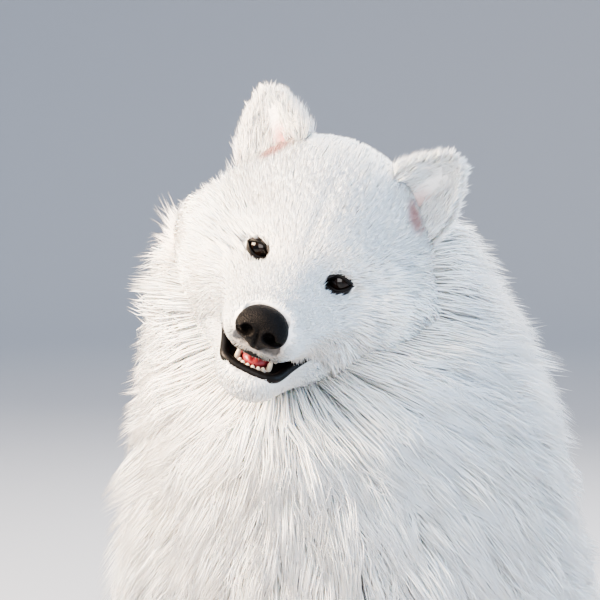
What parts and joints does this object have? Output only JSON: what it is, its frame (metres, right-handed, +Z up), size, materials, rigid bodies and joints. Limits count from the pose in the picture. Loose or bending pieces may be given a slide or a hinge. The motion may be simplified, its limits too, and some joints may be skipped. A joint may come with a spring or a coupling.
{
  "type": "samoyed dog model",
  "caption": "Still, life-size model of a sitting samoyed with a tilted head, open mouth, long white coat and a tail curled over its back.",
  "frame": {"origin": "middle of the bounding box at floor level", "axes": "+Z up, the dog's body faces -Y, its left side towards +X"},
  "size_m": [0.4126, 0.756, 0.8623],
  "materials": {
    "white_coat": "long, soft white double coat",
    "nose_leather": "moist black nose leather",
    "tongue_pink": "moist pink tongue",
    "tooth_ivory": "glossy ivory",
    "eye_brown": "glossy dark brown"
  },
  "bodies": {
    "root": {"ear_left": "white_coat", "ear_right": "white_coat", "eye_left": "eye_brown", "eye_right": "eye_brown", "foreleg_left": "white_coat", "foreleg_right": "white_coat", "forepaw_left": "white_coat", "forepaw_right": "white_coat", "head": "white_coat", "hindpaw_left": "white_coat", "hindpaw_right": "white_coat", "lower_jaw": "white_coat", "lower_teeth": "tooth_ivory", "neck": "white_coat", "nose": "nose_leather", "tail": "white_coat", "thigh_left": "white_coat", "thigh_right": "white_coat", "tongue": "tongue_pink", "torso": "white_coat"}
  },
  "joints": []
}
